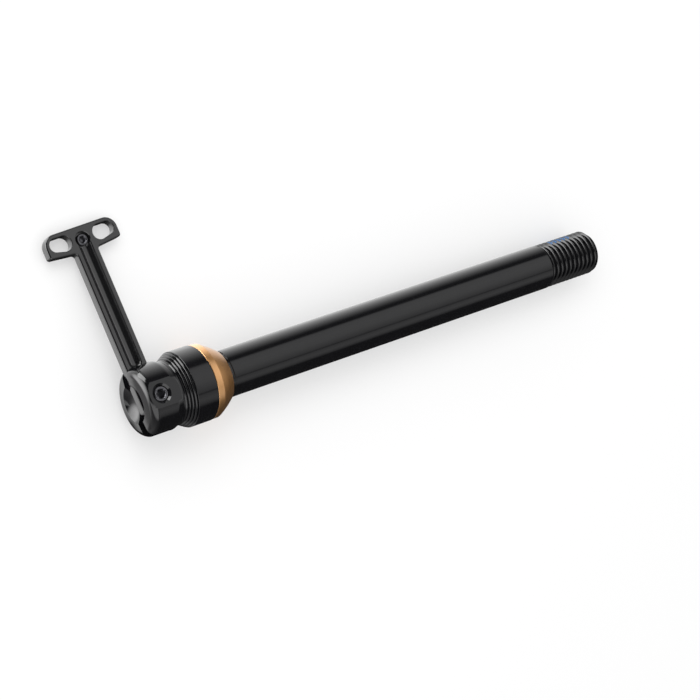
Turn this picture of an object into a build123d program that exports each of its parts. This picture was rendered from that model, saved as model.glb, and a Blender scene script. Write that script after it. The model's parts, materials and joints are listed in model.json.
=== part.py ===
"""Quick release through axle for a bicycle hub: a 12 mm axle with a folding T lever in its forked head.

The pieces are drawn in the axle's own frame and then laid down together. In that frame X runs along
the axle towards the thread, Y points along the raised lever, Z along the lever's pivot, and X = 0 is
the shoulder that the cone washer turns against. Laid down, the axle rests on the rim of its head and
the end of its thread, and the lever rests on one corner of its T. The origin of the parts as they lie
is on the axle's axis at the washer's small face. All sizes are in millimetres.
"""
import math
import os

from build123d import *

# Axle: shank and thread
SHANK_D = 12.0
JOURNAL_OVERRUN = 0.1
RELIEF_WIDTH = 1.0
RELIEF_DEPTH = 0.25
GRIP_LENGTH = 121.0
SHANK_EDGE = 0.6
THREAD_D = 11.86
THREAD_DEPTH = 0.86
THREAD_PITCH = 1.5
THREAD_CREST = 0.2
THREAD_LENGTH = 17.0
TIP_CHAMFER = 0.6
AXLE_BORE_D = 6.5
BORE_WALL_AT_SHOULDER = 4.0

# Axle: head
HEAD_LENGTH = 18.3
COLLAR_D = 19.3
COLLAR_WIDTH = 5.8
COLLAR_EDGE = 0.25
NECK_STEP = 1.6
NECK_WIDTH = 0.4
RIDGE_SLOPE_LENGTH = 2.8
RIDGE_COUNT = 4
RIDGE_GROOVE_DEPTH = 0.35
RIDGE_GROOVE_WIDTH = 0.3
FORK_STEP = 0.9
FORK_TAPER_LENGTH = 1.9
FORK_END_RADIUS = 2.2
DISH_D = 9.8
DISH_DEPTH = 1.9
FLAT_DEPTH = 0.65
FLAT_LENGTH = 9.5

# Lever
LEVER_THICKNESS = 2.8
LEVER_CHAMFER = 0.4
STEM_WIDTH = 6.0
LEVER_REACH = 41.9
T_LENGTH = 20.0
T_TOP = 3.5
T_ROOT_DEPTH = 2.9
T_END_DEPTH = 2.2
T_TOP_RADIUS = 3.0
T_END_RADIUS = 0.7
T_ROOT_RADIUS = 0.8
HOLE_CENTRE = 6.0
HOLE_RISE = 0.45
HOLE_LENGTH = 5.8
HOLE_WIDTH = 3.9
HOLE_END_RADIUS = 1.7
CHANNEL_RADIUS = 1.95
CHANNEL_DEPTH = 1.2
CHANNEL_END = 9.6
TONGUE_LENGTH = 4.0
TONGUE_RADIUS = 1.6
LEVER_LEAN = 3.0

# Pivot and the fork's slot
PIVOT_FROM_END = 4.1
PIVOT_D = 4.0
PIVOT_LENGTH = 13.2
PIVOT_SINK = 0.35
PIVOT_RIM = 5.0
PIVOT_RIM_DEPTH = 0.45
PIVOT_HEX = 2.0
PIVOT_HEX_DEPTH = 2.0
SLOT_CUTTER_D = 36.0
SLOT_FLOOR_CLEARANCE = 0.92

# Set screw in the T
GRUB_D = 3.0
GRUB_LENGTH = 2.2
GRUB_SINK = 0.3
GRUB_HEX = 1.5
GRUB_HEX_DEPTH = 1.0
GRUB_RECESS_D = 3.9
GRUB_RECESS_DEPTH = 1.1

# Cone washer and its ring
WASHER_RIM_STEP = 0.1
WASHER_RIM_WIDTH = 1.7
WASHER_WIDTH = 6.2
WASHER_SMALL_D = 13.4
WASHER_EDGE = 0.15
RING_SECTION = 1.0
RING_STATION = 3.1

# Clearances
SLOT_SIDE_CLEARANCE = 0.05
PIVOT_CLEARANCE = 0.05
SCREW_CLEARANCE = 0.02
WASHER_CLEARANCE = 0.06
WASHER_END_CLEARANCE = 0.05
RING_JOURNAL_CLEARANCE = 0.05
RING_GROOVE_CLEARANCE = 0.03

# Stations and radii that follow from the sizes
SHANK_R = SHANK_D / 2
RELIEF_R = SHANK_R - RELIEF_DEPTH
THREAD_R = THREAD_D / 2
THREAD_CORE_R = THREAD_R - THREAD_DEPTH
COLLAR_R = COLLAR_D / 2
FORK_R = COLLAR_R - FORK_STEP
NECK_R = COLLAR_R - NECK_STEP
FLAT_HEIGHT = FORK_R - FLAT_DEPTH
WASHER_RIM_R = COLLAR_R - WASHER_RIM_STEP
END_X = -HEAD_LENGTH
PIVOT_X = END_X + PIVOT_FROM_END
WASHER_FACE_X = WASHER_END_CLEARANCE + WASHER_WIDTH
RELIEF_X = WASHER_FACE_X + JOURNAL_OVERRUN
FREE_SHANK_X = RELIEF_X + RELIEF_WIDTH
TIP_X = WASHER_FACE_X + GRIP_LENGTH
THREAD_X = TIP_X - THREAD_LENGTH
THREAD_TURNS = int((THREAD_LENGTH - TIP_CHAMFER / 2) / THREAD_PITCH)
RIDGE_END_X = -COLLAR_WIDTH
RIDGE_START_X = RIDGE_END_X - RIDGE_SLOPE_LENGTH
NECK_X = RIDGE_START_X - NECK_WIDTH
FORK_FULL_X = NECK_X - FORK_TAPER_LENGTH
SLOT_WIDTH = LEVER_THICKNESS + 2 * SLOT_SIDE_CLEARANCE
TONGUE_SWING_R = TONGUE_RADIUS + math.hypot(STEM_WIDTH / 2 - TONGUE_RADIUS, TONGUE_LENGTH - TONGUE_RADIUS)
SLOT_FLOOR_X = PIVOT_X + TONGUE_SWING_R + SLOT_FLOOR_CLEARANCE
HALF_LEVER = LEVER_THICKNESS / 2
T_TOP_Y = LEVER_REACH + T_TOP


def ridge_profile():
    """Corners of the turned ridges on the slope between the neck and the collar, from the collar back."""
    slope = (COLLAR_R - NECK_R) / RIDGE_SLOPE_LENGTH
    pitch = RIDGE_SLOPE_LENGTH / RIDGE_COUNT
    points = []
    for i in range(RIDGE_COUNT):
        top = RIDGE_END_X - i * pitch
        low = top - RIDGE_GROOVE_WIDTH
        points.append((top, COLLAR_R - slope * i * pitch))
        points.append((top, COLLAR_R - slope * i * pitch - RIDGE_GROOVE_DEPTH))
        points.append((low, COLLAR_R - slope * (i * pitch + RIDGE_GROOVE_WIDTH) - RIDGE_GROOVE_DEPTH))
        points.append((low, COLLAR_R - slope * (i * pitch + RIDGE_GROOVE_WIDTH)))
    return points


def thread_profile():
    """Corners of the thread's turns from the shank to the tip, drawn as rings of the thread's own section."""
    rise = (THREAD_PITCH - THREAD_CREST) / 2
    points = [(THREAD_X, THREAD_CORE_R)]
    for i in range(THREAD_TURNS):
        root = THREAD_X + i * THREAD_PITCH
        points.append((root + rise, THREAD_R))
        points.append((root + rise + THREAD_CREST, THREAD_R))
        points.append((root + THREAD_PITCH, THREAD_CORE_R))
    return points


def fork_slot():
    """Slot for the lever, open at the end and on both sides, with a side cutter's round floor."""
    return Pos(SLOT_FLOOR_X - SLOT_CUTTER_D / 2, 0, 0) * Cylinder(SLOT_CUTTER_D / 2, SLOT_WIDTH)


def pivot_hole():
    """Blind hole across the fork with a chamfered mouth on the flat."""
    bottom = FLAT_HEIGHT - PIVOT_SINK - PIVOT_LENGTH - SCREW_CLEARANCE
    height = FLAT_HEIGHT - bottom
    hole_r = PIVOT_D / 2 + SCREW_CLEARANCE
    hole = Pos(PIVOT_X, 0, bottom + height / 2) * Cylinder(hole_r, height)
    mouth = Pos(PIVOT_X, 0, FLAT_HEIGHT - PIVOT_RIM_DEPTH / 2) * Cone(hole_r, PIVOT_RIM / 2, PIVOT_RIM_DEPTH)
    return hole + mouth


def make_axle():
    """Axle turned from one bar: forked head, collar, hollow shank and the thread."""
    dish_r = ((DISH_D / 2) ** 2 + DISH_DEPTH ** 2) / (2 * DISH_DEPTH)
    dish_half = math.asin(DISH_D / 2 / dish_r) / 2
    dish_centre_x = END_X + DISH_DEPTH - dish_r
    dish_mid = (dish_centre_x + dish_r * math.cos(dish_half), dish_r * math.sin(dish_half))
    dish = ThreePointArc((END_X + DISH_DEPTH, 0), dish_mid, (END_X, DISH_D / 2))

    land_r = FORK_R - FORK_END_RADIUS
    edge_step = FORK_END_RADIUS * math.sin(math.radians(45))
    edge_x = END_X + FORK_END_RADIUS
    land = Line((END_X, DISH_D / 2), (END_X, land_r))
    edge = ThreePointArc((END_X, land_r), (edge_x - edge_step, land_r + edge_step), (edge_x, FORK_R))

    outside = [(edge_x, FORK_R), (FORK_FULL_X, FORK_R), (NECK_X, NECK_R), (RIDGE_START_X, NECK_R)]
    outside += list(reversed(ridge_profile()))
    outside += [(-COLLAR_EDGE, COLLAR_R), (0, COLLAR_R - COLLAR_EDGE), (0, SHANK_R)]
    outside += [(RELIEF_X, SHANK_R), (RELIEF_X, RELIEF_R), (FREE_SHANK_X, RELIEF_R), (FREE_SHANK_X, SHANK_R)]
    outside += [(THREAD_X - SHANK_EDGE, SHANK_R), *thread_profile()]
    outside += [(TIP_X, THREAD_CORE_R - TIP_CHAMFER)]
    bore_r = AXLE_BORE_D / 2
    outside += [(TIP_X, bore_r + TIP_CHAMFER), (TIP_X - TIP_CHAMFER, bore_r)]
    outside += [(BORE_WALL_AT_SHOULDER, bore_r), (BORE_WALL_AT_SHOULDER, 0), (END_X + DISH_DEPTH, 0)]
    section = make_face(dish + land + edge + Polyline(*outside))
    axle = revolve(section, Axis.X)

    flat_cut = Box(FLAT_LENGTH, COLLAR_D, COLLAR_R, align=(Align.MIN, Align.CENTER, Align.MIN))
    axle -= Pos(END_X, 0, FLAT_HEIGHT) * flat_cut
    axle -= fork_slot()
    axle -= pivot_hole()
    return axle


def t_outline():
    """Face of the lever seen along the pivot: the T at the top, the stem and the tongue in the fork."""
    half_t = T_LENGTH / 2
    half_stem = STEM_WIDTH / 2
    root_y = LEVER_REACH - T_ROOT_DEPTH
    end_y = LEVER_REACH - T_END_DEPTH
    bar = make_face(Polyline((0, T_TOP_Y), (half_t, T_TOP_Y), (half_t, end_y), (half_stem, root_y),
                             (-half_stem, root_y), (-half_t, end_y), (-half_t, T_TOP_Y), (0, T_TOP_Y)))
    stem_length = root_y + TONGUE_LENGTH + T_ROOT_DEPTH / 2
    stem = Pos(0, stem_length / 2 - TONGUE_LENGTH) * Rectangle(STEM_WIDTH, stem_length)
    face = bar + stem
    places = ((half_t, T_TOP_Y, T_TOP_RADIUS), (half_t, end_y, T_END_RADIUS),
              (half_stem, root_y, T_ROOT_RADIUS), (half_stem, -TONGUE_LENGTH, TONGUE_RADIUS))
    for x, y, radius in places:
        corners = face.vertices().filter_by(lambda v: math.hypot(abs(v.X) - x, v.Y - y) < 0.01)
        face = fillet(corners, radius)
    return face


def t_hole():
    """Finger hole in one arm: a wide round towards the stem and a smaller one outside, level at the top."""
    top = HOLE_WIDTH / 2
    inner = Pos(-HOLE_LENGTH / 2 + top, 0) * Circle(top)
    outer = Pos(HOLE_LENGTH / 2 - HOLE_END_RADIUS, top - HOLE_END_RADIUS) * Circle(HOLE_END_RADIUS)
    hull = make_hull((inner + outer).edges())
    return Pos(HOLE_CENTRE, LEVER_REACH + HOLE_RISE) * hull


def channel_cut():
    """Half round channel along the stem's face, with a round end above the fork."""
    axis_z = HALF_LEVER + CHANNEL_RADIUS - CHANNEL_DEPTH
    length = LEVER_REACH - CHANNEL_END
    rod = Pos(0, CHANNEL_END + length / 2, axis_z) * Rot(90, 0, 0) * Cylinder(CHANNEL_RADIUS, length)
    return rod + Pos(0, CHANNEL_END, axis_z) * Sphere(CHANNEL_RADIUS)


def lean(shape):
    """Turns a piece drawn on the upright lever to the lever's place on the pivot."""
    return Pos(PIVOT_X, 0, 0) * Rot(0, 0, LEVER_LEAN) * shape


def make_lever():
    """T lever milled from plate, with its tongue, channel, finger holes and the recess of the set screw."""
    plate = Pos(0, 0, -HALF_LEVER) * extrude(t_outline(), LEVER_THICKNESS)
    rims = plate.faces().filter_by(Axis.Z).edges()
    plate = chamfer(rims, LEVER_CHAMFER)
    hole = Pos(0, 0, -LEVER_THICKNESS) * extrude(t_hole(), 2 * LEVER_THICKNESS)
    plate -= hole
    plate -= mirror(hole, Plane.YZ)
    plate -= channel_cut()
    recess_z = HALF_LEVER - GRUB_RECESS_DEPTH + LEVER_THICKNESS / 2
    plate -= Pos(0, LEVER_REACH, recess_z) * Cylinder(GRUB_RECESS_D / 2, LEVER_THICKNESS)
    plate -= Pos(0, LEVER_REACH, 0) * Cylinder(GRUB_D / 2 + SCREW_CLEARANCE, 2 * LEVER_THICKNESS)
    plate -= Cylinder(PIVOT_D / 2 + PIVOT_CLEARANCE, 2 * LEVER_THICKNESS)
    return lean(plate)


def set_screw(diameter, length, hex_size, hex_depth):
    """Headless screw with its socket at the top, its top face at the origin, pointing down."""
    edge = diameter * 0.08
    body = Pos(0, 0, -length / 2) * Cylinder(diameter / 2, length)
    body = chamfer(body.edges().filter_by(GeomType.CIRCLE), edge)
    socket = Pos(0, 0, -hex_depth) * extrude(RegularPolygon(hex_size / 2, 6, major_radius=False), hex_depth)
    return body - socket


def make_pivot_screw():
    """Screw that the lever turns on, through the front cheek and the lever into the back cheek."""
    screw = set_screw(PIVOT_D, PIVOT_LENGTH, PIVOT_HEX, PIVOT_HEX_DEPTH)
    return Pos(PIVOT_X, 0, FLAT_HEIGHT - PIVOT_SINK) * screw


def make_grub_screw():
    """Small set screw in the middle of the T."""
    screw = set_screw(GRUB_D, GRUB_LENGTH, GRUB_HEX, GRUB_HEX_DEPTH)
    return lean(Pos(0, LEVER_REACH, HALF_LEVER - GRUB_SINK) * screw)


def make_washer():
    """Cone washer that centres the head in the frame and turns freely on the shank."""
    start = WASHER_END_CLEARANCE
    end = WASHER_FACE_X
    rim_r = WASHER_RIM_R
    small_r = WASHER_SMALL_D / 2
    bore_r = SHANK_R + WASHER_CLEARANCE
    groove_r = SHANK_R + RING_JOURNAL_CLEARANCE + RING_SECTION + RING_GROOVE_CLEARANCE
    groove_half = RING_SECTION / 2 + RING_GROOVE_CLEARANCE
    ring_x = start + RING_STATION
    section = make_face(Polyline(
        (start, bore_r), (start, rim_r - WASHER_EDGE), (start + WASHER_EDGE, rim_r),
        (start + WASHER_RIM_WIDTH, rim_r), (end - WASHER_EDGE, small_r), (end, small_r - WASHER_EDGE),
        (end, bore_r), (ring_x + groove_half, bore_r), (ring_x + groove_half, groove_r),
        (ring_x - groove_half, groove_r), (ring_x - groove_half, bore_r), (start, bore_r)))
    return revolve(section, Axis.X)


def make_washer_ring():
    """Rubber ring in the washer's bore that keeps it on the shank."""
    centre_r = SHANK_R + RING_JOURNAL_CLEARANCE + RING_SECTION / 2
    ring_x = WASHER_END_CLEARANCE + RING_STATION
    return Pos(ring_x, 0, 0) * Rot(0, 90, 0) * Torus(centre_r, RING_SECTION / 2)


def resting_place():
    """Place of the axle's frame once the piece lies level, with the washer's small face at the origin."""
    head_edge = -COLLAR_EDGE
    tip_edge = TIP_X - TIP_CHAMFER
    pitch = math.atan2(COLLAR_R - THREAD_R, tip_edge - head_edge)
    height = COLLAR_R * math.cos(pitch) + head_edge * math.sin(pitch)
    lean_angle = math.radians(LEVER_LEAN)
    arc_u = T_LENGTH / 2 - T_TOP_RADIUS
    arc_v = T_TOP_Y - T_TOP_RADIUS
    edge_r = T_TOP_RADIUS - LEVER_CHAMFER

    def corner_height(dip):
        """Height of the lowest point of the T's rounded corner when the lever dips by this angle."""
        drop_x = math.sin(pitch)
        drop_y = math.sin(dip) * math.cos(pitch)
        drop_u = math.cos(lean_angle) * drop_x + math.sin(lean_angle) * drop_y
        drop_v = -math.sin(lean_angle) * drop_x + math.cos(lean_angle) * drop_y
        reach = drop_u * arc_u + drop_v * arc_v + edge_r * math.hypot(drop_u, drop_v)
        below = HALF_LEVER * math.cos(dip) * math.cos(pitch)
        return height - PIVOT_X * drop_x - reach - below

    low, high = 0.0, math.radians(60)
    for _ in range(60):
        middle = (low + high) / 2
        if corner_height(middle) > 0:
            low = middle
        else:
            high = middle
    return Rot(0, math.degrees(pitch), 0) * Rot(-math.degrees(low), 0, 0) * Pos(-WASHER_FACE_X, 0, 0)


def main():
    nodes = {
        "axle": make_axle(),
        "lever": make_lever(),
        "pivot_screw": make_pivot_screw(),
        "lever_set_screw": make_grub_screw(),
        "cone_washer": make_washer(),
        "washer_ring": make_washer_ring(),
    }
    rest = resting_place()
    placed = {name: rest * shape for name, shape in nodes.items()}
    os.makedirs("parts", exist_ok=True)
    for name, shape in placed.items():
        export_step(shape, f"parts/{name}.step")
    stations = {"shoulder": 0, "pivot": PIVOT_X, "shank start": FREE_SHANK_X,
                "shank end": THREAD_X - SHANK_EDGE, "thread start": THREAD_X, "tip": TIP_X}
    for label, x in stations.items():
        print(label, (rest * Pos(x, 0, 0)).position)
    axes = {"axle": (1, 0, 0), "lever": (0, 1, 0), "pivot": (0, 0, 1)}
    for label, direction in axes.items():
        print(label, "direction", (rest * Pos(*direction)).position - rest.position)


main()
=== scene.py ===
"""Looks of a lever through axle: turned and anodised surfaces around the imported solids.

Every shape is worked out in millimetres in the axle's own frame, and then placed. In that frame X runs
along the axle towards the thread with 0 at the collar's shoulder, Y is the side the raised lever points
to, and Z is the lever's pivot.
"""

import json
import math

import bmesh
import bpy
import numpy as np
from mathutils import Matrix, Vector


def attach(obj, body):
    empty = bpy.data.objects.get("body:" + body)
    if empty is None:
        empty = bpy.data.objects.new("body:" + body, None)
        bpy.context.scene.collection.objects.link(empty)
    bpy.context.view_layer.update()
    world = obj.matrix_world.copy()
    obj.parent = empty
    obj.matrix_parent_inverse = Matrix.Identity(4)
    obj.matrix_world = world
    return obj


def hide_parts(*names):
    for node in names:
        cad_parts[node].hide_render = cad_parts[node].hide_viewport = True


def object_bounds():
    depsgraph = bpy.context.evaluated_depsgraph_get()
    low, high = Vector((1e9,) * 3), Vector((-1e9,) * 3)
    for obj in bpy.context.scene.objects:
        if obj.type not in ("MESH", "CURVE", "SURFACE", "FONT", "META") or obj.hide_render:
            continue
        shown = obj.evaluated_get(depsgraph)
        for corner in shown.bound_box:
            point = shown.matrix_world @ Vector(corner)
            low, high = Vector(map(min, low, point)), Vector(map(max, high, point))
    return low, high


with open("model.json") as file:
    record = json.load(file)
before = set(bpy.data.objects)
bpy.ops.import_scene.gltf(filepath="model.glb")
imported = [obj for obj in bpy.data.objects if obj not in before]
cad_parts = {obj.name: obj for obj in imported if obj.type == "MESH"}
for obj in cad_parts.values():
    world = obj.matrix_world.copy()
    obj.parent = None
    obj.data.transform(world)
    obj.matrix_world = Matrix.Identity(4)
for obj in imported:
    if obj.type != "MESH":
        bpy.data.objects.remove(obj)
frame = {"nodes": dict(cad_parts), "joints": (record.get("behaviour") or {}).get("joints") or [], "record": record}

bl_info = {
    "name": "Through Axle Looks",
    "version": (1, 0, 0),
    "blender": (4, 5, 0),
    "location": "View3D > Sidebar > Axle",
    "description": "Dresses a lever through axle with its turned surfaces, thread and anodised finishes",
    "category": "Object",
}

# Millimetres in a metre
MM = 1000.0

# The axle's frame from the record: where the washer's small face is, and the three directions as columns
MOUNTS = {mount["name"]: mount for mount in frame["record"]["mounts"]}
JOINTS = {joint["name"]: joint for joint in frame["joints"]}
SEAT = np.array(MOUNTS["frame_seat"]["pos_m"], float) * MM
AXIS = np.array(MOUNTS["frame_seat"]["axis"], float)
PIVOT = np.array(JOINTS["lever_pivot"]["axis"], float)
RAISE = np.cross(PIVOT, AXIS)
LOCAL = np.column_stack([AXIS, RAISE, PIVOT])
LOCAL /= np.linalg.norm(LOCAL, axis=0)
CAD_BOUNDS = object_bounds()


def linear(code):
    """Linear red, green and blue of an sRGB hex code."""
    values = [int(code[i:i + 2], 16) / 255 for i in (1, 3, 5)]
    return tuple(v / 12.92 if v <= 0.04045 else ((v + 0.055) / 1.055) ** 2.4 for v in values)


# Sizes and colours that a user would change

def length(name, description, millimetres):
    """A length property with its default given in millimetres."""
    return bpy.props.FloatProperty(name=name, description=description, default=millimetres / MM,
                                   unit="LENGTH", subtype="DISTANCE", precision=5)


def colour(name, description, code):
    """A colour property with its default given as an sRGB hex code."""
    return bpy.props.FloatVectorProperty(name=name, description=description, default=linear(code),
                                         subtype="COLOR", size=3, min=0, max=1)


class AxleSizes(bpy.types.PropertyGroup):
    """Sizes of the turned surfaces."""
    head_length: length("Head length", "From the shoulder to the fork's end", 18.3)
    collar_diameter: length("Collar diameter", "Across the head's widest band", 19.3)
    collar_width: length("Collar width", "Length of the widest band", 5.8)
    fork_diameter: length("Fork diameter", "Across the fork's cheeks", 17.5)
    neck_diameter: length("Neck diameter", "Across the narrow place before the ridges", 16.1)
    neck_width: length("Neck width", "Length of the narrow place", 0.4)
    fork_taper: length("Fork taper", "Length of the taper from the fork to the neck", 1.9)
    ridge_slope: length("Ridged slope", "Length of the slope that the ridges stand on", 2.8)
    groove_start: length("First groove", "From the collar to the middle of the first groove", 0.15)
    groove_width: length("Groove width", "Half the width of a groove at a third of its depth", 0.14)
    groove_depth: length("Groove depth", "Depth of the grooves between the ridges", 0.38)
    collar_edge: length("Collar edge radius", "Rounding of the collar's edge at the shoulder", 0.22)
    fork_edge: length("Fork edge radius", "Rounding of the fork's end", 2.2)
    dish_diameter: length("Dish diameter", "Across the round dish in the fork's end", 9.8)
    dish_depth: length("Dish depth", "Depth of the round dish", 1.9)
    dish_lip: length("Dish lip", "Rounding between the dish and the end", 0.12)
    end_fall: length("End fall", "How far the end falls back from the dish to the rounded edge", 0.4)
    flat_height: length("Flat height", "Height of the milled flat above the axis", 8.1)
    flat_length: length("Flat length", "Length of the milled flat from the fork's end", 9.5)
    slot_width: length("Slot width", "Width of the lever's slot", 2.9)
    slot_radius: length("Slot cutter radius", "Radius of the slot's round floor", 18.0)
    slot_floor: length("Slot floor", "From the fork's end to the slot's deepest line", 9.4)
    pivot_from_end: length("Pivot place", "From the fork's end to the pivot", 4.1)
    pivot_diameter: length("Pivot hole", "Diameter of the pivot screw's hole", 4.04)
    pivot_depth: length("Pivot hole depth", "From the flat to the bottom of the pivot's hole", 13.5)
    pivot_rim: length("Pivot hole rim", "Diameter of the chamfer round the pivot screw", 5.0)
    pivot_rim_depth: length("Pivot rim depth", "Depth of the chamfer round the pivot screw", 0.45)
    shank_diameter: length("Shank diameter", "Across the plain shank", 12.0)
    relief_start: length("Relief start", "From the washer to the groove beside it", 0.1)
    relief_width: length("Relief width", "Width of the groove beside the washer", 1.0)
    relief_depth: length("Relief depth", "Depth of the groove beside the washer", 0.25)
    bore_diameter: length("Bore diameter", "Across the hollow in the shank", 6.5)
    bore_end: length("Bore end", "From the shoulder to the closed end of the hollow", 4.0)
    bore_chamfer: length("Bore chamfer", "Chamfer at the open end of the hollow", 0.6)
    grip_length: length("Axle length", "From the washer's small face to the tip", 121.0)
    thread_length: length("Thread length", "Length of the thread", 17.0)
    thread_diameter: length("Thread diameter", "Across the thread's crests", 11.86)
    thread_depth: length("Thread depth", "From crest to root", 0.86)
    thread_pitch: length("Thread pitch", "From one crest to the next", 1.5)
    thread_crest: length("Thread crest", "Half the width of the flat crest", 0.07)
    thread_root: length("Thread root", "Half the width of the flat root", 0.18)
    thread_start: length("Thread start", "Length in which the thread reaches its depth", 0.35)
    tip_chamfer: length("Tip chamfer", "Chamfer of the thread's tip", 0.62)
    tip_gap: length("Tip gap", "How far the tip stays inside the solid", 0.03)
    patch_start: length("Patch start", "From the thread's start to the patch", 4.8)
    patch_length: length("Patch length", "Length of the patch along the thread", 6.8)
    patch_coat: length("Patch coat", "Thickness of the patch on the thread's flanks", 0.06)
    patch_gap: length("Patch gap", "How far the patch stays under the crests", 0.16)
    washer_clearance: length("Washer clearance", "Between the shoulder and the washer", 0.05)
    washer_width: length("Washer width", "Length of the cone washer", 6.2)
    washer_diameter: length("Washer diameter", "Across the cone washer's rim", 19.1)
    washer_small: length("Washer small end", "Across the cone washer's small end", 13.4)
    washer_bore: length("Washer bore", "Across the cone washer's bore", 12.12)
    washer_rim: length("Washer rim width", "Width of the cone washer's rim", 1.7)
    washer_edge: length("Washer edge radius", "Rounding of the cone washer's edges", 0.14)
    washer_bulge: length("Washer bulge", "How far the cone bulges at its middle", 0.16)
    lever_thickness: length("Lever thickness", "Thickness of the lever's plate", 2.8)
    lever_edge: length("Lever edge radius", "Rounding of the plate's edges", 0.45)
    stem_width: length("Stem width", "Across the lever's stem", 6.0)
    tongue_length: length("Tongue length", "From the pivot to the lever's inner end", 4.0)
    tongue_corner: length("Tongue corner", "Corner radius at the lever's inner end", 1.6)
    lever_reach: length("Lever reach", "From the pivot to the middle of the T", 41.9)
    t_length: length("T length", "Across the T's two arms", 20.0)
    t_top: length("T top", "From the T's middle to its top edge", 3.5)
    t_root: length("T root", "From the T's middle to its lower edge at the stem", 2.9)
    t_end: length("T end", "From the T's middle to its lower edge at the ends", 2.2)
    t_corner: length("T corner", "Radius of the T's top corners", 3.0)
    t_tip: length("T lower corner", "Radius of the T's lower corners", 0.7)
    t_fillet: length("T fillet", "Radius between the T and the stem", 0.8)
    hole_place: length("Hole place", "From the lever's middle to a finger hole's middle", 6.0)
    hole_rise: length("Hole rise", "A finger hole's middle above the T's middle", 0.45)
    hole_length: length("Hole length", "Length of a finger hole", 5.8)
    hole_width: length("Hole width", "Width of a finger hole", 3.9)
    hole_end: length("Hole end radius", "Radius of a finger hole's outer end", 1.7)
    hole_edge: length("Hole edge radius", "Rounding of a finger hole's rims", 0.25)
    channel_radius: length("Channel radius", "Radius of the stem's channel", 1.95)
    channel_depth: length("Channel depth", "Depth of the stem's channel", 1.2)
    channel_start: length("Channel start", "From the pivot to the channel's round end", 9.6)
    recess_diameter: length("Recess diameter", "Across the set screw's recess", 3.9)
    recess_depth: length("Recess depth", "Depth of the set screw's recess", 1.1)
    recess_chamfer: length("Recess chamfer", "Chamfer of the set screw's recess", 0.12)
    screw_hole: length("Set screw hole", "Diameter of the set screw's hole", 3.04)
    lever_bore: length("Lever bore", "Diameter of the lever's bore on the pivot", 4.1)


class AxleColours(bpy.types.PropertyGroup):
    """Colours of the finishes."""
    anodised: colour("Axle", "Dye of the axle's anodising", "#0e0e10")
    lever: colour("Lever", "Dye of the lever's anodising", "#141415")
    screw: colour("Screws", "Blackened screw steel", "#6c6c70")
    washer: colour("Washer", "Dye of the cone washer's anodising", "#f0b679")
    ring: colour("Ring", "Rubber of the washer's ring", "#161616")
    patch: colour("Patch", "Nylon patch on the thread", "#1d5c92")
    floor: colour("Floor", "Paper the part lies on", "#f6f6f6")


# Meshes

def in_mm(group):
    """The property group's lengths in millimetres, by name."""
    return {key: getattr(group, key) * MM for key in group.__annotations__}


def rounded(corners, steps=6):
    """Line through the corners, each given by two coordinates and a fillet. At each one an arc of the
    fillet's radius touches both sides: it is a turn of the vector from the arc's centre, from one side's
    foot to the other's."""
    points = [np.array(corners[0][:2], float)]
    for before, here, after in zip(corners, corners[1:], corners[2:]):
        tip = np.array(here[:2], float)
        if here[2] <= 0:
            points.append(tip)
            continue
        back = np.array(before[:2], float) - tip
        ahead = np.array(after[:2], float) - tip
        back /= np.linalg.norm(back)
        ahead /= np.linalg.norm(ahead)
        half = math.acos(float(np.clip(back @ ahead, -1, 1))) / 2
        centre = tip + (back + ahead) / np.linalg.norm(back + ahead) * here[2] / math.sin(half)
        start = tip + back * here[2] / math.tan(half) - centre
        end = tip + ahead * here[2] / math.tan(half) - centre
        sweep = math.pi - 2 * half
        share = np.linspace(0, 1, steps + 1)[:, None]
        arc = (np.sin((1 - share) * sweep) * start + np.sin(share * sweep) * end) / math.sin(sweep)
        points.extend(centre + arc)
    points.append(np.array(corners[-1][:2], float))
    return np.array(points)


def grid_faces(rows, columns, loop_rows=False):
    """Quads of a grid whose columns close on themselves, and whose rows do too if asked."""
    last = rows if loop_rows else rows - 1
    row, column = np.meshgrid(np.arange(last), np.arange(columns), indexing="ij")
    row, column = row.ravel(), column.ravel()
    below, beside = (row + 1) % rows, (column + 1) % columns
    return np.column_stack([row * columns + column, row * columns + beside,
                            below * columns + beside, below * columns + column])


def smooth(share):
    """A share from 0 to 1 that starts and ends level: three of its squares less two of its cubes."""
    return share * share * (3 - 2 * share)


def closed_surface(name, points, poles=(None, None), loop_rows=False):
    """Mesh of a grid of points with closed columns: quads between the rows, and a fan of triangles
    from each end row to its pole."""
    rows, columns = points.shape[:2]
    vertices = points.reshape(-1, 3).tolist()
    faces = grid_faces(rows, columns, loop_rows).tolist()
    turn = np.arange(columns)
    for pole, first, flip in ((poles[0], 0, True), (poles[1], (rows - 1) * columns, False)):
        if pole is None:
            continue
        tip = np.full(columns, len(vertices))
        vertices.append(list(pole))
        fan = np.column_stack([first + turn, first + (turn + 1) % columns, tip])
        faces.extend((fan[:, ::-1] if flip else fan).tolist())
    mesh = bpy.data.meshes.new(name)
    mesh.from_pydata(vertices, [], faces)
    return mesh


def around(along, off, angle):
    """Grid of points round X: each is (along, off sin t, off cos t), where t is the angle from Z to Y."""
    return np.stack(np.broadcast_arrays(along, off * np.sin(angle), off * np.cos(angle)), axis=2)


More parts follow.
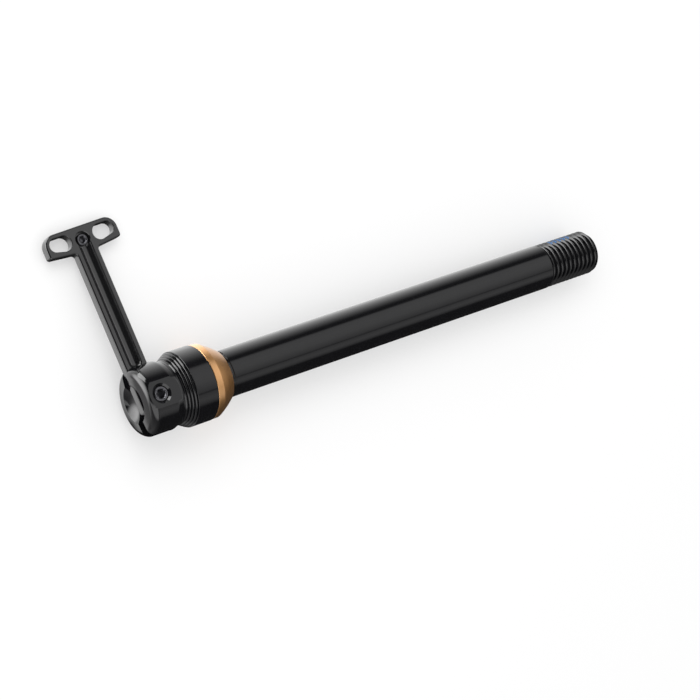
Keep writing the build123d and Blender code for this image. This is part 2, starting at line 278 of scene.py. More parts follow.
def turned(name, profile, columns, about="X", centre=(0, 0, 0), loop_rows=False):
    """Surface of revolution: each profile point, along and off the axis, is carried round X as in around(),
    or round Z to (off cos t, off sin t, along). Ends that lie on the axis become poles."""
    angle = np.linspace(0, 2 * math.pi, columns, endpoint=False)
    on_axis = [profile[0][1] < 1e-9, profile[-1][1] < 1e-9]
    body = profile[int(on_axis[0]):len(profile) - int(on_axis[1])]
    points = around(body[:, :1], body[:, 1:2], angle)
    tips = [(profile[0][0], 0, 0), (profile[-1][0], 0, 0)]
    if about == "Z":
        points = points[:, :, ::-1]
        tips = [tip[::-1] for tip in tips]
    centre = np.array(centre, float)
    poles = [tuple(np.array(tip) + centre) if flag else None for tip, flag in zip(tips, on_axis)]
    return closed_surface(name, points + centre, poles, loop_rows)


def prism(name, outline, low, high):
    """Block with the given outline in X and Y, between two heights."""
    outline = np.asarray(outline, float)
    count = len(outline)
    vertices = np.vstack([np.column_stack([outline, np.full(count, z)]) for z in (low, high)])
    turn = np.arange(count)
    sides = np.column_stack([turn, (turn + 1) % count, (turn + 1) % count + count, turn + count]).tolist()
    mesh = bpy.data.meshes.new(name)
    mesh.from_pydata(vertices.tolist(), [], sides + [turn[::-1].tolist(), (turn + count).tolist()])
    return mesh


def outward(mesh):
    """Turns every face of a closed mesh outwards."""
    work = bmesh.new()
    work.from_mesh(mesh)
    bmesh.ops.recalc_face_normals(work, faces=work.faces)
    work.to_mesh(mesh)
    work.free()
    return mesh


def cut(mesh, cutters):
    """The mesh less the cutters, by exact Boolean modifiers that are applied."""
    scene = bpy.context.scene
    block = bpy.data.objects.new("block", mesh)
    scene.collection.objects.link(block)
    tools = []
    for cutter in cutters:
        tool = bpy.data.objects.new("tool", outward(cutter))
        scene.collection.objects.link(tool)
        step = block.modifiers.new("cut", "BOOLEAN")
        step.operation = "DIFFERENCE"
        step.solver = "EXACT"
        step.object = tool
        tools.append(tool)
    result = bpy.data.meshes.new_from_object(block.evaluated_get(bpy.context.evaluated_depsgraph_get()))
    for item in [block, *tools]:
        bpy.data.objects.remove(item)
    return result


def small_face(sizes):
    """Where the cone washer's small face is along the axle. The row frame has its origin there."""
    return sizes["washer_clearance"] + sizes["washer_width"]


def in_row(point):
    """A point of the axle's frame in millimetres, as a point of the row frame in metres."""
    face = (small_face(in_mm(bpy.context.scene.axle_sizes)), 0, 0)
    return (SEAT + LOCAL @ (np.array(point, float) - face)) / MM


def place(mesh):
    """Moves a mesh from the axle's frame in millimetres to the row frame in metres."""
    matrix = np.eye(4)
    matrix[:3, :3] = LOCAL / MM
    matrix[:3, 3] = in_row((0, 0, 0))
    mesh.transform(Matrix(matrix.tolist()))
    return mesh


def piece(name, mesh, material, body, nodes=(), sharp=35.0):
    """An object for a finished mesh in the row frame, shaded smooth up to the given angle."""
    mesh.materials.clear()
    mesh.materials.append(material)
    mesh.shade_smooth()
    mesh.set_sharp_from_angle(angle=math.radians(sharp))
    made = bpy.data.objects.new(name, mesh)
    bpy.context.scene.collection.objects.link(made)
    steady = made.modifiers.new("even_shading", "WEIGHTED_NORMAL")
    steady.keep_sharp = True
    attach(made, body)
    if nodes:
        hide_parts(*nodes)
    return made


def merged_copy(node):
    """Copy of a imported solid's mesh with its loose triangles joined."""
    work = bmesh.new()
    work.from_mesh(frame["nodes"][node].data)
    bmesh.ops.remove_doubles(work, verts=work.verts, dist=2e-6)
    mesh = bpy.data.meshes.new(node + "_surface")
    work.to_mesh(mesh)
    work.free()
    return mesh


# Materials

def add_node(tree, kind, inputs=(), **settings):
    """Adds a node, sets its settings, and gives each input a value or a link."""
    made = tree.nodes.new(kind)
    for key, value in settings.items():
        setattr(made, key, value)
    for key, value in dict(inputs).items():
        if isinstance(value, bpy.types.NodeSocket):
            tree.links.new(value, made.inputs[key])
        else:
            made.inputs[key].default_value = value
    return made


def new_material(name):
    """An empty material with its output node."""
    material = bpy.data.materials.new(name)
    material.use_nodes = True
    tree = material.node_tree
    tree.nodes.clear()
    return material, tree, add_node(tree, "ShaderNodeOutputMaterial")


def rgba(values):
    """A colour with full opacity."""
    return (*values, 1.0)


def grain(tree, millimetres, stretch=(1, 1, 1)):
    """Noise whose grains have the given size on the part, turned to the axle's frame."""
    turn = Matrix(LOCAL.T.tolist()).to_euler()
    place_at = add_node(tree, "ShaderNodeTexCoord")
    mapping = add_node(tree, "ShaderNodeMapping",
                       {"Vector": place_at.outputs["Object"], "Rotation": tuple(turn)})
    stretched = add_node(tree, "ShaderNodeVectorMath",
                         {0: mapping.outputs["Vector"], 1: tuple(stretch)}, operation="MULTIPLY")
    return add_node(tree, "ShaderNodeTexNoise",
                    {"Vector": stretched.outputs["Vector"], "Scale": MM / millimetres, "Detail": 3.0,
                     "Roughness": 0.6})


def spread(tree, source, low, high):
    """A grain's value carried to the range from low to high."""
    return add_node(tree, "ShaderNodeMapRange",
                    {"Value": source, "From Min": 0.3, "From Max": 0.7, "To Min": low, "To Max": high})


def anodised(name, base, roughness, film_index, turned_marks, bump):
    """Black anodised aluminium: a glassy oxide film dyed black, so it is dark with sharp reflections."""
    material, tree, output = new_material(name)
    marks = grain(tree, 0.35, (1, 0.06, 0.06) if turned_marks else (1, 1, 1))
    cloud = grain(tree, 3.0)
    rough = spread(tree, marks.outputs["Fac"], roughness * 0.85, roughness * 1.2)
    tone = spread(tree, cloud.outputs["Fac"], 0.85, 1.15)
    dye = add_node(tree, "ShaderNodeVectorMath", {0: tuple(base), "Scale": tone.outputs["Result"]},
                   operation="SCALE")
    relief = add_node(tree, "ShaderNodeBump",
                      {"Height": marks.outputs["Fac"], "Strength": bump, "Distance": 0.02 / MM})
    surface = add_node(tree, "ShaderNodeBsdfPrincipled",
                       {"Base Color": dye.outputs["Vector"], "Roughness": rough.outputs["Result"],
                        "Normal": relief.outputs["Normal"], "IOR": film_index})
    tree.links.new(surface.outputs["BSDF"], output.inputs["Surface"])
    return material


def gold_anodised(base):
    """Gold anodised aluminium: clear dyed film over bright metal, with fine rings left by turning."""
    material, tree, output = new_material("gold_anodised_aluminium")
    marks = grain(tree, 0.15, (1, 0.004, 0.004))
    rough = spread(tree, marks.outputs["Fac"], 0.36, 0.43)
    tone = spread(tree, marks.outputs["Fac"], 0.96, 1.03)
    dye = add_node(tree, "ShaderNodeVectorMath", {0: tuple(base), "Scale": tone.outputs["Result"]},
                   operation="SCALE")
    surface = add_node(tree, "ShaderNodeBsdfPrincipled",
                       {"Base Color": dye.outputs["Vector"], "Roughness": rough.outputs["Result"],
                        "Metallic": 1.0, "Coat Weight": 1.0, "Coat Roughness": 0.12})
    tree.links.new(surface.outputs["BSDF"], output.inputs["Surface"])
    return material


def screw_steel(base):
    """Blackened screw steel: a thin dark oxide on metal, dull and slightly uneven."""
    material, tree, output = new_material("blackened_screw_steel")
    cloud = grain(tree, 0.8)
    rough = spread(tree, cloud.outputs["Fac"], 0.3, 0.45)
    surface = add_node(tree, "ShaderNodeBsdfPrincipled",
                       {"Base Color": rgba(base), "Roughness": rough.outputs["Result"], "Metallic": 1.0})
    tree.links.new(surface.outputs["BSDF"], output.inputs["Surface"])
    return material


def plain_polymer(name, base, roughness, millimetres):
    """Moulded rubber or bonded nylon: even colour, dull, with a faint unevenness."""
    material, tree, output = new_material(name)
    cloud = grain(tree, millimetres)
    rough = spread(tree, cloud.outputs["Fac"], roughness * 0.85, roughness * 1.15)
    relief = add_node(tree, "ShaderNodeBump",
                      {"Height": cloud.outputs["Fac"], "Strength": 0.3, "Distance": 0.05 / MM})
    surface = add_node(tree, "ShaderNodeBsdfPrincipled",
                       {"Base Color": rgba(base), "Roughness": rough.outputs["Result"],
                        "Normal": relief.outputs["Normal"], "IOR": 1.5})
    tree.links.new(surface.outputs["BSDF"], output.inputs["Surface"])
    return material


# Shapes

# Ridges on the slope before the collar, and the columns and rows of the finest meshes
RIDGES = 4
HEAD_COLUMNS = 224
SLOT_COLUMNS = 512
THREAD_COLUMNS = 160
THREAD_ROWS = 480


def head_profile(sizes):
    """Turned line of the head from the dish's middle to the shoulder: an arc, the end's land, the rounded
    edge, the fork, the neck, a slope with bell shaped grooves sunk into it, and the collar."""
    end = -sizes["head_length"]
    rim = sizes["dish_diameter"] / 2
    depth, lip = sizes["dish_depth"], sizes["dish_lip"]
    ball = (rim ** 2 + depth ** 2) / (2 * depth)
    nearly_rim = 0.985 * math.asin(rim / ball)
    sweep = np.linspace(0, nearly_rim, 16)
    dish = np.column_stack([end + depth - ball + ball * np.cos(sweep), ball * np.sin(sweep)])
    fork, neck, collar = (sizes[part] / 2 for part in ("fork_diameter", "neck_diameter", "collar_diameter"))
    collar_start = -sizes["collar_width"]
    slope_start = collar_start - sizes["ridge_slope"]
    neck_start = slope_start - sizes["neck_width"]
    fork_blend, neck_blend, soft = 2.0, 0.5, 0.12
    front = rounded([(*dish[-1], 0), (end, rim, lip), (end + sizes["end_fall"], fork, sizes["fork_edge"]),
                     (neck_start - sizes["fork_taper"], fork, fork_blend), (neck_start, neck, neck_blend),
                     (slope_start, neck, 0)], 10)
    along = np.linspace(slope_start, collar_start, 90)[1:]
    slope = neck + (collar - neck) * (along - slope_start) / sizes["ridge_slope"]
    places = collar_start - sizes["groove_start"] - np.arange(RIDGES) * sizes["ridge_slope"] / RIDGES
    groove = np.exp(-(((along[:, None] - places) / sizes["groove_width"]) ** 2)).sum(1)
    ridges = np.column_stack([along, slope - sizes["groove_depth"] * groove])
    under_shank = sizes["shank_diameter"] / 2 - 0.1
    back = rounded([(*ridges[-1], 0), (collar_start + 0.02, collar, soft), (0, collar, sizes["collar_edge"]),
                    (0, under_shank, 0)])
    return np.vstack([dish, front[1:], ridges, back[1:], [(0, 0)]])


def make_head(sizes):
    """Head: the turned line carried round the axis, less the slot, the flat and the pivot's hole."""
    end = -sizes["head_length"]
    block = outward(turned("axle_head", head_profile(sizes), HEAD_COLUMNS))
    floor_x = end + sizes["slot_floor"]
    radius, half = sizes["slot_radius"], sizes["slot_width"] / 2
    slot_line = np.array([(-half, 0), (-half, radius), (half, radius), (half, 0)])
    slot = turned("slot_tool", slot_line, SLOT_COLUMNS, "Z", (floor_x - radius, 0, 0))
    wide, top = sizes["collar_diameter"], sizes["flat_height"]
    front, back = end - 4, end + sizes["flat_length"]
    flat_line = rounded([(front, 0, 0), (front, -wide, 0), (back, -wide, 0.01), (back, wide, 0.01),
                         (front, wide, 0), (front, 1, 0)])
    flat = prism("flat_tool", flat_line, top, top + wide)
    hole, rim = sizes["pivot_diameter"] / 2, sizes["pivot_rim"] / 2
    bottom, throat, beyond = top - sizes["pivot_depth"], top - sizes["pivot_rim_depth"], 3
    mouth = np.array([(bottom, 0), (bottom, hole), (throat, hole), (top, rim), (top + beyond, rim + beyond),
                      (top + beyond, 0)])
    bore = turned("pivot_tool", mouth, 72, "Z", (end + sizes["pivot_from_end"], 0, 0))
    return cut(block, [slot, flat, bore])


def thread_radius(sizes, along, angle):
    """Radius of the thread: the crest less the depth, by how far the point is from the crest line, which
    moves one pitch a turn. The flanks are straight between a crest and a root that are slightly rounded."""
    crest, depth, pitch = sizes["thread_diameter"] / 2, sizes["thread_depth"], sizes["thread_pitch"]
    flank = pitch / 2 - sizes["thread_crest"] - sizes["thread_root"]
    phase = along / pitch - angle / (2 * math.pi)
    away = np.abs(phase - np.round(phase)) * pitch
    share = np.clip((away - sizes["thread_crest"]) / flank, 0, 1)
    return crest - depth * (0.75 * share + 0.25 * smooth(share))


def make_shank(sizes):
    """Shank, thread and bore in one skin. In the thread the radius follows the thread's form; it fades in
    where the cutter enters and is held under a cone at the tip."""
    face = small_face(sizes)
    end = face + sizes["grip_length"]
    start, tip = end - sizes["thread_length"], end - sizes["tip_gap"]
    groove = face + sizes["relief_start"]
    free = groove + sizes["relief_width"]
    angle = np.linspace(0, 2 * math.pi, THREAD_COLUMNS, endpoint=False)
    shank, bore, crest = sizes["shank_diameter"] / 2, sizes["bore_diameter"] / 2, sizes["thread_diameter"] / 2
    low = shank - sizes["relief_depth"]
    # Start of the skin inside the head, fillets at the relief's edges and foot, and the thread's run-in
    in_head, soft, foot, run_in = -0.5, 0.05, 0.08, 0.15
    plain = rounded([(in_head, shank, 0), (groove, shank, soft), (groove, low, foot), (free, low, foot),
                     (free, shank, soft), (start, shank, run_in), (start + run_in, crest, 0)])
    plain_off = np.repeat(plain[:, 1:2], THREAD_COLUMNS, axis=1)
    along = np.linspace(start + run_in, tip, THREAD_ROWS)[1:]
    form = thread_radius(sizes, along[:, None], angle[None, :])
    fade = np.clip((along - start) / sizes["thread_start"], 0, 1)[:, None]
    form = crest - (crest - form) * smooth(fade)
    cone = (crest - sizes["tip_chamfer"] + (tip - along))[:, None]
    form = np.minimum(form, cone)
    wall, chamfer = sizes["bore_end"], sizes["bore_chamfer"]
    inner = rounded([(tip, bore + chamfer, 0), (tip - chamfer, bore, 0.1), (wall, bore, 0.5), (wall, 0.2, 0)])
    inner_off = np.repeat(inner[:, 1:2], THREAD_COLUMNS, axis=1)
    x = np.concatenate([plain[:, 0], along, inner[:, 0]])[:, None]
    points = around(x, np.vstack([plain_off, form, inner_off]), angle)
    return outward(closed_surface("axle_shank", points, ((in_head, 0, 0), (wall, 0, 0))))


# Angles round the axle from the pivot's direction towards the raised lever: the middle of the patch and
# half its width
PATCH_MIDDLE = math.radians(97)
PATCH_REACH = math.radians(38)


def make_patch(sizes):
    """Nylon patch in the thread: a coat that fills the grooves part of the way up, follows the thread's own
    surface, stays under its crests and thins to nothing at its rounded edges."""
    first = small_face(sizes) + sizes["grip_length"] - sizes["thread_length"] + sizes["patch_start"]
    reach = sizes["patch_length"]
    along = np.linspace(0, reach, 200)
    turn = np.linspace(-1, 1, 61)
    angle = PATCH_MIDDLE + PATCH_REACH * turn
    x = (first + along)[:, None]
    thread = thread_radius(sizes, x, angle[None, :])
    inside = (1 - (2 * along / reach - 1)[:, None] ** 8) * (1 - turn[None, :] ** 8)
    crest, coat = sizes["thread_diameter"] / 2, sizes["patch_coat"]
    level = crest - 0.6 * sizes["thread_depth"]
    top = np.minimum(np.maximum(thread + coat, level), crest - sizes["patch_gap"])
    off = thread - coat + (top - thread + coat) * np.clip(inside * 6, 0, 1)
    low = thread - 0.3
    ring = np.concatenate([around(x, off, angle), around(x, low, angle)[:, ::-1]], axis=1)
    ends = (tuple(ring[0].mean(0)), tuple(ring[-1].mean(0)))
    return outward(closed_surface("thread_patch", ring, ends))


# How far the raised lever leans past square to the axle
LEVER_LEAN = math.radians(3.0)


def lever_outline(sizes):
    """The lever seen along the pivot, anticlockwise from the top of the T: straight lines joined by arcs."""
    half_t, half_stem = sizes["t_length"] / 2, sizes["stem_width"] / 2
    reach = sizes["lever_reach"]
    top, root, end = reach + sizes["t_top"], reach - sizes["t_root"], reach - sizes["t_end"]
    low = -sizes["tongue_length"]
    corners = [(0, top, 0), (-half_t, top, sizes["t_corner"]), (-half_t, end, sizes["t_tip"]),
               (-half_stem, root, sizes["t_fillet"]), (-half_stem, low, sizes["tongue_corner"])]
    mirrored = [(-x, y, fillet) for x, y, fillet in corners[::-1]]
    return rounded(corners + mirrored, 14)[:-1]


def hole_outline(sizes, side):
    """Finger hole in one arm, as the line round two circles: in each direction the point is that of the
    circle that reaches farther, its middle plus its radius along the direction."""
    wide, narrow, half = sizes["hole_width"] / 2, sizes["hole_end"], sizes["hole_length"] / 2
    middles = np.array([(wide - half, 0), (half - narrow, wide - narrow)])
    angle = np.linspace(0, 2 * math.pi, 96, endpoint=False)
    direction = np.column_stack([np.cos(angle), np.sin(angle)])
    reach = direction @ middles.T + np.array([wide, narrow])
    farther = reach.argmax(1)
    points = middles[farther] + np.array([wide, narrow])[farther][:, None] * direction
    points = (points + (sizes["hole_place"], 0)) * (side, 1) + (0, sizes["lever_reach"] + sizes["hole_rise"])
    return points[::side]


def walled(name, outline, profile):
    """Solid between two flat faces: at each of the profile's heights the outline is moved out along its
    normals by the profile's offset, where a normal is the mean direction of its two sides turned by 90
    degrees."""
    ahead = np.roll(outline, -1, 0) - outline
    ahead /= np.linalg.norm(ahead, axis=1)[:, None]
    tangent = ahead + np.roll(ahead, 1, 0)
    tangent /= np.linalg.norm(tangent, axis=1)[:, None]
    normal = np.column_stack([tangent[:, 1], -tangent[:, 0]])
    count = len(outline)
    points = np.vstack([np.column_stack([outline + off * normal, np.full(count, height)])
                        for off, height in profile])
    faces = grid_faces(len(profile), count).tolist()
    faces += [list(range(count))[::-1], list(range((len(profile) - 1) * count, len(profile) * count))]
    mesh = bpy.data.meshes.new(name)
    mesh.from_pydata(points.tolist(), [], faces)
    return outward(mesh)


def drill(name, radius, reach):
    """Cylinder square through the lever's plate, at the given reach from the pivot."""
    line = np.array([(-3, 0), (-3, radius), (3, radius), (3, 0)])
    return turned(name, line, 64, "Z", (0, reach, 0))


def make_lever(sizes):
    """T lever: a plate with rounded edges, less its two finger holes, the channel along the stem, the set
    screw's recess and hole, and the bore for the pivot. It is leaned about the pivot at the end."""
    half, edge, reach = sizes["lever_thickness"] / 2, sizes["lever_edge"], sizes["lever_reach"]
    turn = np.linspace(0, math.pi / 2, 7)
    lower = np.column_stack([-edge * (1 - np.sin(turn)), -half + edge * (1 - np.cos(turn))])
    plate = walled("lever_plate", lever_outline(sizes), np.vstack([lower, lower[::-1] * (1, -1)]))

    rim, opening = sizes["hole_edge"], 0.3
    turn = np.linspace(opening, math.pi / 2, 6)
    flare = np.column_stack([rim * (1 - np.sin(turn)), -half + rim * (1 - np.cos(turn))])
    outer = flare[0] + 0.8 * np.array([math.cos(opening), -math.sin(opening)])
    flare = np.vstack([[(outer[0], -half - 1), outer], flare])
    cutters = [walled("hole_tool", hole_outline(sizes, side), np.vstack([flare, flare[::-1] * (1, -1)]))
               for side in (1, -1)]

    radius, start = sizes["channel_radius"], sizes["channel_start"]
    turn = np.linspace(0, math.pi / 2, 16)
    capsule = np.vstack([np.column_stack([-radius * np.cos(turn), radius * np.sin(turn)]),
                         [(reach - start, radius), (reach - start, 0)]])
    channel = turned("channel_tool", capsule, 96)
    height = half + radius - sizes["channel_depth"]
    channel.transform(Matrix.Translation((0, start, height)) @ Matrix.Rotation(math.pi / 2, 4, "Z"))

    floor, recess = half - sizes["recess_depth"], sizes["recess_diameter"] / 2
    chamfer, above = sizes["recess_chamfer"], 0.4
    recess_line = np.array([(floor, 0), (floor, recess), (half - chamfer, recess),
                            (half + above, recess + chamfer + above), (half + above, 0)])
    cutters += [channel, turned("recess_tool", recess_line, 96, "Z", (0, reach, 0)),
                drill("screw_tool", sizes["screw_hole"] / 2, reach),
                drill("pivot_bore_tool", sizes["lever_bore"] / 2, 0)]
    mesh = cut(plate, cutters)
    pivot_x = sizes["pivot_from_end"] - sizes["head_length"]
    mesh.transform(Matrix.Translation((pivot_x, 0, 0)) @ Matrix.Rotation(LEVER_LEAN, 4, "Z"))
    return mesh


def make_washer(sizes):
    """Cone washer: a rim, a cone that bulges slightly between its ends, and the bore, turned in a loop."""
    start = sizes["washer_clearance"]
    end = start + sizes["washer_width"]
    rim, small, bore = sizes["washer_diameter"] / 2, sizes["washer_small"] / 2, sizes["washer_bore"] / 2
    edge, cone_edge, bore_edge = sizes["washer_edge"], 0.08, 0.2
    share = np.linspace(0, 1, 24)
    cone_start = start + sizes["washer_rim"]
    bulge = sizes["washer_bulge"] * np.sin(math.pi * share)
    cone = np.column_stack([cone_start + (end - cone_start) * share, rim + (small - rim) * share + bulge])
    front = rounded([(start, bore, 0), (start, rim, edge), (*cone[0], cone_edge), (*cone[3], 0)])
    back = rounded([(*cone[-2], 0), (end, small, edge), (end, bore, bore_edge), (start + 0.1, bore, 0)])
    profile = np.vstack([front, cone[4:-2], back])
    return outward(turned("cone_washer", profile, 224, loop_rows=True))


class AXLE_OT_head(bpy.types.Operator):
    """Make the turned head with its slot, flat and ridges"""
    bl_idname = "axle.head"
    bl_label = "Head"

    def execute(self, context):
        sizes = in_mm(context.scene.axle_sizes)
        dye = context.scene.axle_colours.anodised
        finish = anodised("black_anodised_aluminium", dye, roughness=0.1, film_index=1.55,
                          turned_marks=True, bump=0.04)
        piece("axle_head", place(make_head(sizes)), finish, "axle", ["axle"], 30)
        return {"FINISHED"}


class AXLE_OT_shank(bpy.types.Operator):
    """Make the hollow shank with its thread"""
    bl_idname = "axle.shank"
    bl_label = "Shank and thread"

    def execute(self, context):
        sizes = in_mm(context.scene.axle_sizes)
        finish = bpy.data.materials["black_anodised_aluminium"]
        piece("axle_shank", place(make_shank(sizes)), finish, "axle", ["axle"], 60)
        return {"FINISHED"}


class AXLE_OT_patch(bpy.types.Operator):
    """Make the nylon patch on the thread"""
    bl_idname = "axle.patch"
    bl_label = "Thread patch"

    def execute(self, context):
        sizes = in_mm(context.scene.axle_sizes)
        finish = plain_polymer("bonded_nylon", context.scene.axle_colours.patch, 0.32, 0.4)
        piece("thread_patch", place(make_patch(sizes)), finish, "axle", (), 60)
        return {"FINISHED"}


class AXLE_OT_lever(bpy.types.Operator):
    """Make the T lever"""
    bl_idname = "axle.lever"
    bl_label = "Lever"

    def execute(self, context):
        sizes = in_mm(context.scene.axle_sizes)
        dye = context.scene.axle_colours.lever
        finish = anodised("satin_anodised_aluminium", dye, roughness=0.17, film_index=1.75,
                          turned_marks=False, bump=0.05)
        piece("lever_plate", place(make_lever(sizes)), finish, "lever", ["lever"], 28)
        return {"FINISHED"}


class AXLE_OT_screws(bpy.types.Operator):
    """Give the pivot screw and the set screw their finish"""
    bl_idname = "axle.screws"
    bl_label = "Screws"

    def execute(self, context):
        finish = screw_steel(context.scene.axle_colours.screw)
        for node, body in (("pivot_screw", "axle"), ("lever_set_screw", "lever")):
            piece(node + "_turned", merged_copy(node), finish, body, [node], 30)
        return {"FINISHED"}


class AXLE_OT_washer(bpy.types.Operator):
    """Make the cone washer and give its ring its finish"""
    bl_idname = "axle.washer"
    bl_label = "Cone washer"

    def execute(self, context):
        sizes = in_mm(context.scene.axle_sizes)
        colours = context.scene.axle_colours
        piece("cone_washer_turned", place(make_washer(sizes)), gold_anodised(colours.washer), "washer",
              ["cone_washer"], 50)
        rubber = plain_polymer("nitrile_rubber", colours.ring, 0.6, 0.5)
        piece("washer_ring_moulded", merged_copy("washer_ring"), rubber, "washer",
              ["washer_ring"], 60)
        return {"FINISHED"}


# Stage

# Radiance of the studio by the angle round the axle, in degrees from the pivot's direction towards the
# raised lever. Overhead are two soft panels side by side, and under the raised lever is a bright table.
OVERHEAD = [(-180, 0.02), (-150, 0.02), (-78, 0.03), (-68, 0.4), (-57, 0.62), (-45, 0.53), (-40, 0.45),
            (-37, 0.1), (-34, 0.45), (-20, 0.66), (-5, 0.84), (15, 0.88), (38, 0.79), (43, 0.6), (48, 0.06),
            (62, 0.02), (75, 0.0)]
TABLE = [(-180, 0.0), (58, 0.0), (66, 0.12), (73, 0.4), (85, 0.85), (100, 1.4), (115, 1.7), (135, 1.8),
         (150, 1.45), (165, 1.0), (178, 0.6), (180, 0.3)]

# Radiance of the other parts of the studio: a wall beyond the head, a panel beyond the thread, a window on
# the raised lever's side, a lamp beyond the head, and on the side away from the lever a panel and a room
WALL = 0.8
END_PANEL = 0.5
WINDOW = 3.0
LAMP = 2.4
AWAY_PANEL = 0.8
ROOM = 0.1

# Direction to the lamp in the axle's frame
TO_LAMP = np.array([-0.86, 0.48, -0.17])

# Share of the floor's shade that is its own light, to the camera
PAPER_GLOW = 0.45

# Place of the softbox in metres, which faces the origin
SOFTBOX = Vector((-0.15, 0.35, 0.45))

# Directions to the right and up in the picture, and the camera's place in millimetres, in the axle's frame
CAMERA_RIGHT = (0.80507, -0.34982, 0.47904)
CAMERA_UP = (0.27808, 0.93593, 0.21613)
CAMERA_PLACE = (-237.68, -26.48, 457.98)


def eased(tree, source, start, end, low=0.0, high=1.0):
    """A value that goes smoothly from low to high while its source goes from start to end."""
    made = add_node(tree, "ShaderNodeMapRange", {"Value": source, "From Min": start, "From Max": end,
                                                 "To Min": low, "To Max": high},
                    interpolation_type="SMOOTHSTEP")
    return made.outputs["Result"]


def combined(tree, operation, *values):
    """The sum or the product of several values."""
    total = values[0]
    for value in values[1:]:
        total = add_node(tree, "ShaderNodeMath", {0: total, 1: value}, operation=operation).outputs["Value"]
    return total


def strips(tree, share, stops):
    """Radiance along a list of angles and levels, by the share of the full turn."""
    ramp = add_node(tree, "ShaderNodeValToRGB", {"Fac": share})
    for index, (degrees, value) in enumerate(stops):
        at = (degrees + 180) / 360
        stop = ramp.color_ramp.elements[index] if index < 2 else ramp.color_ramp.elements.new(at)
        stop.position = at
        stop.color = (value / 2, value / 2, value / 2, 1)
    return ramp.outputs["Color"]


def studio_world(backdrop):
    """World that reflections see as a studio: the sum of its panels, table, wall, window, lamp and room,
    each bounded by how far a direction goes along the axle, across to the raised lever's side and above.
    Everything else sees an even soft light."""
    world = bpy.data.worlds.new("studio")
    world.use_nodes = True
    tree = world.node_tree
    tree.nodes.clear()
    output = add_node(tree, "ShaderNodeOutputWorld")
    ray = add_node(tree, "ShaderNodeTexCoord").outputs["Generated"]
    along, across, above = (
        add_node(tree, "ShaderNodeVectorMath", {0: ray, 1: tuple(LOCAL[:, i])}, operation="DOT_PRODUCT")
        .outputs["Value"] for i in range(3))
    angle = add_node(tree, "ShaderNodeMath", {0: across, 1: above}, operation="ARCTAN2").outputs["Value"]
    share = add_node(tree, "ShaderNodeMapRange",
                     {"Value": angle, "From Min": -math.pi, "From Max": math.pi}).outputs["Result"]
    # The panels and the table darken towards the far end of the axle.
    end = eased(tree, along, 0.82, 0.96, 1.0, 0.12)
    panels = combined(tree, "MULTIPLY", strips(tree, share, OVERHEAD), eased(tree, along, -0.05, 0.12), end)
    table = combined(tree, "MULTIPLY", strips(tree, share, TABLE), eased(tree, along, -0.38, -0.25),
                     eased(tree, along, 0.44, 0.9, 1.0, 0.4), end)
    # The wall is less light in its lower corner and on the side away from the lever.
    corner = combined(tree, "MULTIPLY", eased(tree, along, -0.48, -0.58), eased(tree, above, -0.55, -0.7))
    wall = combined(tree, "MULTIPLY", eased(tree, along, -0.2, -0.42), eased(tree, above, 0.3, -0.6),
                    eased(tree, across, -0.45, 0.05, 0.1, WALL), eased(tree, corner, 0.0, 1.0, 1.0, 0.4))
    beyond = combined(tree, "MULTIPLY", eased(tree, along, 0.78, 0.87, 0.0, END_PANEL),
                      eased(tree, along, 0.98, 0.93), eased(tree, above, 0.1, 0.4))
    window = combined(tree, "MULTIPLY", eased(tree, across, 0.7, 0.8, 0.0, WINDOW),
                      eased(tree, along, 0.0, -0.1), eased(tree, along, -0.65, -0.55),
                      eased(tree, above, -0.25, -0.1), eased(tree, above, 0.5, 0.4))
    near_lamp = add_node(tree, "ShaderNodeVectorMath", {0: ray, 1: tuple(LOCAL @ TO_LAMP)},
                         operation="DOT_PRODUCT").outputs["Value"]
    lamp = eased(tree, near_lamp, 0.8, 0.99, 0.0, LAMP)
    away = combined(tree, "MULTIPLY", eased(tree, along, 0.0, -0.2, 0.0, AWAY_PANEL),
                    eased(tree, angle, -1.45, -1.2), eased(tree, angle, -0.35, -0.65))
    room = combined(tree, "MULTIPLY", eased(tree, along, 0.3, -0.3, 0.0, ROOM),
                    eased(tree, across, -0.1, -0.5))
    total = combined(tree, "ADD", panels, table, wall, beyond, window, lamp, away, room)
    light_path = add_node(tree, "ShaderNodeLightPath")
    # Beyond the floor the camera sees the backdrop, which has the floor's shade, so there is no horizon.
    shade = add_node(tree, "ShaderNodeMath",
                     {0: light_path.outputs["Is Camera Ray"], 1: backdrop - 1, 2: 1.0},
                     operation="MULTIPLY_ADD").outputs["Value"]
    even = add_node(tree, "ShaderNodeBackground", {"Color": (1, 1, 1, 1), "Strength": shade})
    seen = add_node(tree, "ShaderNodeBackground", {"Color": (2, 2, 2, 1), "Strength": total})
    # Paths that have met a matt surface see the even light, so the metal throws little glow on the floor.
    first = add_node(tree, "ShaderNodeMath", {0: light_path.outputs["Diffuse Depth"], 1: 0.5},
                     operation="LESS_THAN").outputs["Value"]
    glossy = combined(tree, "MULTIPLY", light_path.outputs["Is Glossy Ray"], first)
    mixed = add_node(tree, "ShaderNodeMixShader",
                     {0: glossy, 1: even.outputs["Background"], 2: seen.outputs["Background"]})
    tree.links.new(mixed.outputs["Shader"], output.inputs["Surface"])
    bpy.context.scene.world = world


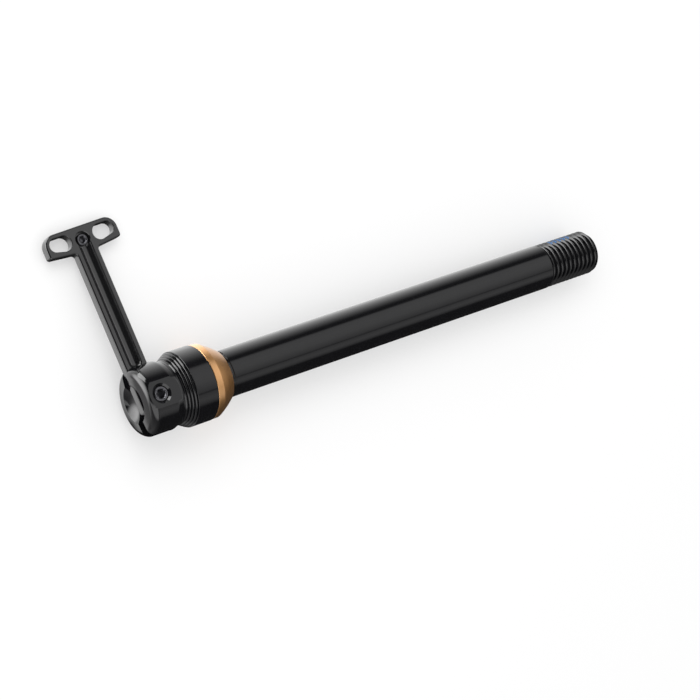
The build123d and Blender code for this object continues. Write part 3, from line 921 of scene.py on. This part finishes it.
def paper_floor(base):
    """White seamless paper: a matt sheet that takes a soft shadow. To the camera it is partly its own even
    shade, as paper that is lit from behind, so the shadow stays faint."""
    material, tree, output = new_material("matt_paper")
    surface = add_node(tree, "ShaderNodeBsdfDiffuse", {"Color": rgba(base), "Roughness": 0.0})
    glow = add_node(tree, "ShaderNodeEmission", {"Color": rgba(base), "Strength": 1.0})
    camera_ray = add_node(tree, "ShaderNodeLightPath").outputs["Is Camera Ray"]
    share = combined(tree, "MULTIPLY", camera_ray, PAPER_GLOW)
    mixed = add_node(tree, "ShaderNodeMixShader",
                     {0: share, 1: surface.outputs["BSDF"], 2: glow.outputs["Emission"]})
    tree.links.new(mixed.outputs["Shader"], output.inputs["Surface"])
    half = 12.0
    level = CAD_BOUNDS[0].z
    mesh = bpy.data.meshes.new("floor")
    mesh.from_pydata([(-half, -half, level), (half, -half, level), (half, half, level), (-half, half, level)],
                     [], [(0, 1, 2, 3)])
    mesh.materials.append(material)
    floor = bpy.data.objects.new("floor", mesh)
    bpy.context.scene.collection.objects.link(floor)
    floor.visible_glossy = False


def row_matrix(right, up, point):
    """World matrix of an object from its right and up directions and its place in the axle's frame."""
    right, up = LOCAL @ np.array(right, float), LOCAL @ np.array(up, float)
    right /= np.linalg.norm(right)
    back = np.cross(right, up)
    back /= np.linalg.norm(back)
    matrix = np.eye(4)
    matrix[:3, :3] = np.column_stack([right, np.cross(back, right), back])
    matrix[:3, 3] = in_row(point)
    return Matrix(matrix.tolist())


class AXLE_OT_stage(bpy.types.Operator):
    """Make the floor, the light and the camera"""
    bl_idname = "axle.stage"
    bl_label = "Stage"

    def execute(self, context):
        scene = context.scene
        scene.view_settings.view_transform = "Standard"
        studio_world(scene.axle_colours.floor[0])
        paper_floor(scene.axle_colours.floor)
        lamp = bpy.data.lights.new("softbox", "AREA")
        lamp.shape = "RECTANGLE"
        lamp.size, lamp.size_y = 0.5, 0.3
        lamp.energy = 1.2
        softbox = bpy.data.objects.new("softbox", lamp)
        scene.collection.objects.link(softbox)
        facing_origin = SOFTBOX.to_track_quat("Z", "Y").to_matrix().to_4x4()
        softbox.matrix_world = Matrix.Translation(SOFTBOX) @ facing_origin
        softbox.visible_glossy = False
        lens = bpy.data.cameras.new("camera")
        lens.sensor_width = 36
        lens.lens = 108
        lens.clip_start = 0.01
        camera = bpy.data.objects.new("camera", lens)
        scene.collection.objects.link(camera)
        camera.matrix_world = row_matrix(CAMERA_RIGHT, CAMERA_UP, CAMERA_PLACE)
        scene.camera = camera
        return {"FINISHED"}


class AXLE_PT_looks(bpy.types.Panel):
    """Buttons for the pieces and the stage, and the sizes and colours"""
    bl_label = "Through axle"
    bl_idname = "AXLE_PT_looks"
    bl_space_type = "VIEW_3D"
    bl_region_type = "UI"
    bl_category = "Axle"

    def draw(self, context):
        for maker in MAKERS:
            self.layout.operator(maker.bl_idname)
        for group in (context.scene.axle_sizes, context.scene.axle_colours):
            column = self.layout.column()
            for key in group.__annotations__:
                column.prop(group, key)


MAKERS = (AXLE_OT_head, AXLE_OT_shank, AXLE_OT_patch, AXLE_OT_lever, AXLE_OT_screws, AXLE_OT_washer,
          AXLE_OT_stage)
CLASSES = (AxleSizes, AxleColours, *MAKERS, AXLE_PT_looks)


def register():
    """Adds the classes and the two groups of properties."""
    for kind in CLASSES:
        bpy.utils.register_class(kind)
    bpy.types.Scene.axle_sizes = bpy.props.PointerProperty(type=AxleSizes)
    bpy.types.Scene.axle_colours = bpy.props.PointerProperty(type=AxleColours)


def unregister():
    """Removes what register() adds."""
    del bpy.types.Scene.axle_sizes
    del bpy.types.Scene.axle_colours
    for kind in reversed(CLASSES):
        bpy.utils.unregister_class(kind)


def main():
    """Makes every piece and the stage."""
    register()
    bpy.ops.axle.head()
    bpy.ops.axle.shank()
    bpy.ops.axle.patch()
    bpy.ops.axle.lever()
    bpy.ops.axle.screws()
    bpy.ops.axle.washer()
    bpy.ops.axle.stage()


if __name__ == "__main__":
    main()
